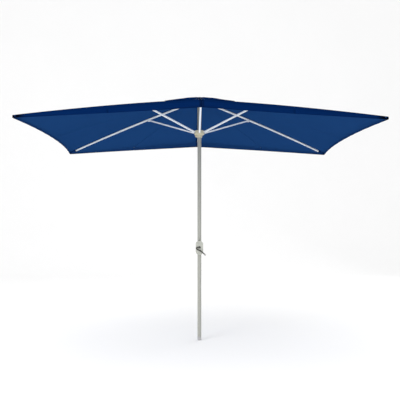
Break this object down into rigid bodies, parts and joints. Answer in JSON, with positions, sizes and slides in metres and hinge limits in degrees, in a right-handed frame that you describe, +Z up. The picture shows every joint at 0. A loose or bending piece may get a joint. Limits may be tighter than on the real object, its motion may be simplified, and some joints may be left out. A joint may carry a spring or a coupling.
{
  "type": "patio umbrella",
  "caption": "Rectangular crank parasol: ribbed blue canopy with a vent cap and a short hem on a straight grey pole that ends in a foot cap; it folds down round the pole.",
  "frame": {"origin": "centre of the pole's foot, on the underside of its end cap, where the pole stands in a base", "axes": "+Z up the pole, +X along the canopy's long side, the crank faces -Y"},
  "size_m": [3.0052, 2.0054, 2.401],
  "materials": {
    "pole_paint": "satin champagne-grey powder coat",
    "rib_paint": "satin pale grey powder coat",
    "cream_plastic": "smooth cream moulding",
    "housing_plastic": "fine matte grey moulding",
    "dark_plastic": "satin charcoal moulding",
    "black_plastic": "satin black moulding",
    "foot_plastic": "matte grey moulding",
    "steel": "bright zinc-plated steel",
    "blue_cloth": "matte woven polyester, navy"
  },
  "bodies": {
    "mast": {"foot_cap": "foot_plastic", "lower_pole": "pole_paint", "upper_pole": "pole_paint", "joint_sleeve": "steel", "sleeve_rivet": "steel", "button_spring": "steel", "crank_housing_front": "housing_plastic", "crank_housing_back": "housing_plastic", "housing_screw_left": "steel", "housing_screw_right": "steel", "brake_spring": "steel", "crown_hub": "cream_plastic", "finial": "dark_plastic", "pulley_axle": "steel"},
    "front_rib": {"rib_front": "rib_paint", "rib_cap_front": "black_plastic", "canopy_front": "blue_cloth", "vent_front": "blue_cloth"},
    "front_strut": {"strut_front": "rib_paint", "strut_pin_front": "steel"},
    "back_rib": {"rib_back": "rib_paint", "rib_cap_back": "black_plastic", "canopy_back": "blue_cloth", "vent_back": "blue_cloth"},
    "back_strut": {"strut_back": "rib_paint", "strut_pin_back": "steel"},
    "front_right_rib": {"rib_front_right": "rib_paint", "rib_cap_front_right": "black_plastic", "canopy_front_right": "blue_cloth", "vent_front_right": "blue_cloth"},
    "front_right_strut": {"strut_front_right": "rib_paint", "strut_pin_front_right": "steel"},
    "back_right_rib": {"rib_back_right": "rib_paint", "rib_cap_back_right": "black_plastic", "canopy_back_right": "blue_cloth", "vent_back_right": "blue_cloth"},
    "back_right_strut": {"strut_back_right": "rib_paint", "strut_pin_back_right": "steel"},
    "back_left_rib": {"rib_back_left": "rib_paint", "rib_cap_back_left": "black_plastic", "canopy_back_left": "blue_cloth", "vent_back_left": "blue_cloth"},
    "back_left_strut": {"strut_back_left": "rib_paint", "strut_pin_back_left": "steel"},
    "front_left_rib": {"rib_front_left": "rib_paint", "rib_cap_front_left": "black_plastic", "canopy_front_left": "blue_cloth", "vent_front_left": "blue_cloth"},
    "front_left_strut": {"strut_front_left": "rib_paint", "strut_pin_front_left": "steel"},
    "runner": {"runner_hub": "cream_plastic"},
    "pulley": {"top_pulley": "black_plastic"},
    "crank": {"crank_spool": "steel", "crank_arm": "dark_plastic", "knob_screw": "steel"},
    "knob": {"crank_knob": "dark_plastic"},
    "button": {"snap_button": "steel"}
  },
  "joints": [
    {"name": "canopy_fold", "type": "hinge", "parent": "mast", "child": "front_rib", "pos_m": [0, -0.045, 2.358], "axis": [1, 0, 0], "range_deg": [0, 71], "deforming": ["canopy_front", "vent_front"]},
    {"name": "strut_front_swing", "type": "hinge", "parent": "front_rib", "child": "front_strut", "pos_m": [0, -0.6369, 2.2005], "axis": [-1, 0, 0], "range_deg": [0, 142]},
    {"name": "rib_back_fold", "type": "hinge", "parent": "mast", "child": "back_rib", "pos_m": [0, 0.045, 2.358], "axis": [-1, 0, 0], "range_deg": [0, 71], "deforming": ["canopy_back", "vent_back"]},
    {"name": "strut_back_swing", "type": "hinge", "parent": "back_rib", "child": "back_strut", "pos_m": [0, 0.6369, 2.2005], "axis": [1, 0, 0], "range_deg": [0, 142]},
    {"name": "rib_front_right_fold", "type": "hinge", "parent": "mast", "child": "front_right_rib", "pos_m": [0.0416, -0.02773, 2.372], "axis": [0.5547, 0.8321, 0], "range_deg": [0, 73.9], "deforming": ["canopy_front_right", "vent_front_right"]},
    {"name": "strut_front_right_swing", "type": "hinge", "parent": "front_right_rib", "child": "front_right_strut", "pos_m": [0.53085, -0.3539, 2.24], "axis": [-0.5547, -0.8321, 0], "range_deg": [0, 141.7]},
    {"name": "rib_back_right_fold", "type": "hinge", "parent": "mast", "child": "back_right_rib", "pos_m": [0.0416, 0.02773, 2.372], "axis": [-0.5547, 0.8321, 0], "range_deg": [0, 73.9], "deforming": ["canopy_back_right", "vent_back_right"]},
    {"name": "strut_back_right_swing", "type": "hinge", "parent": "back_right_rib", "child": "back_right_strut", "pos_m": [0.53085, 0.3539, 2.24], "axis": [0.5547, -0.8321, 0], "range_deg": [0, 141.7]},
    {"name": "rib_back_left_fold", "type": "hinge", "parent": "mast", "child": "back_left_rib", "pos_m": [-0.0416, 0.02773, 2.372], "axis": [-0.5547, -0.8321, 0], "range_deg": [0, 73.9], "deforming": ["canopy_back_left", "vent_back_left"]},
    {"name": "strut_back_left_swing", "type": "hinge", "parent": "back_left_rib", "child": "back_left_strut", "pos_m": [-0.53085, 0.3539, 2.24], "axis": [0.5547, 0.8321, 0], "range_deg": [0, 141.7]},
    {"name": "rib_front_left_fold", "type": "hinge", "parent": "mast", "child": "front_left_rib", "pos_m": [-0.0416, -0.02773, 2.372], "axis": [0.5547, -0.8321, 0], "range_deg": [0, 73.9], "deforming": ["canopy_front_left", "vent_front_left"]},
    {"name": "strut_front_left_swing", "type": "hinge", "parent": "front_left_rib", "child": "front_left_strut", "pos_m": [-0.53085, -0.3539, 2.24], "axis": [-0.5547, 0.8321, 0], "range_deg": [0, 141.7]},
    {"name": "runner_level", "type": "hinge", "parent": "front_strut", "child": "runner", "pos_m": [0, -0.045, 2.043], "axis": [1, 0, 0], "range_deg": [0, 71]},
    {"name": "pulley_turn", "type": "hinge", "parent": "mast", "child": "pulley", "pos_m": [0, 0, 2.3], "axis": [0, 1, 0], "continuous": true},
    {"name": "crank_turn", "type": "hinge", "parent": "mast", "child": "crank", "pos_m": [0, 0, 0.92], "axis": [0, -1, 0], "range_deg": [0, 2970]},
    {"name": "knob_spin", "type": "hinge", "parent": "crank", "child": "knob", "pos_m": [0.052, -0.08, 0.849], "axis": [0, -1, 0], "continuous": true},
    {"name": "button_press", "type": "slide", "parent": "mast", "child": "button", "axis": [-1, 0, 0], "range_m": [0, 0.003], "stiffness_N_per_m": 600, "springref_m": -0.004, "deforming": ["button_spring"]}
  ],
  "couplings": [
    {"joint": "strut_front_swing", "follows": "canopy_fold", "ratio": 2},
    {"joint": "rib_back_fold", "follows": "canopy_fold", "ratio": 1},
    {"joint": "strut_back_swing", "follows": "canopy_fold", "ratio": 2},
    {"joint": "rib_front_right_fold", "follows": "canopy_fold", "ratio": 1.0403},
    {"joint": "strut_front_right_swing", "follows": "canopy_fold", "ratio": 1.9947},
    {"joint": "rib_back_right_fold", "follows": "canopy_fold", "ratio": 1.0403},
    {"joint": "strut_back_right_swing", "follows": "canopy_fold", "ratio": 1.9947},
    {"joint": "rib_back_left_fold", "follows": "canopy_fold", "ratio": 1.0403},
    {"joint": "strut_back_left_swing", "follows": "canopy_fold", "ratio": 1.9947},
    {"joint": "rib_front_left_fold", "follows": "canopy_fold", "ratio": 1.0403},
    {"joint": "strut_front_left_swing", "follows": "canopy_fold", "ratio": 1.9947},
    {"joint": "runner_level", "follows": "canopy_fold", "ratio": 1},
    {"joint": "crank_turn", "follows": "canopy_fold", "ratio": 41.8}
  ]
}
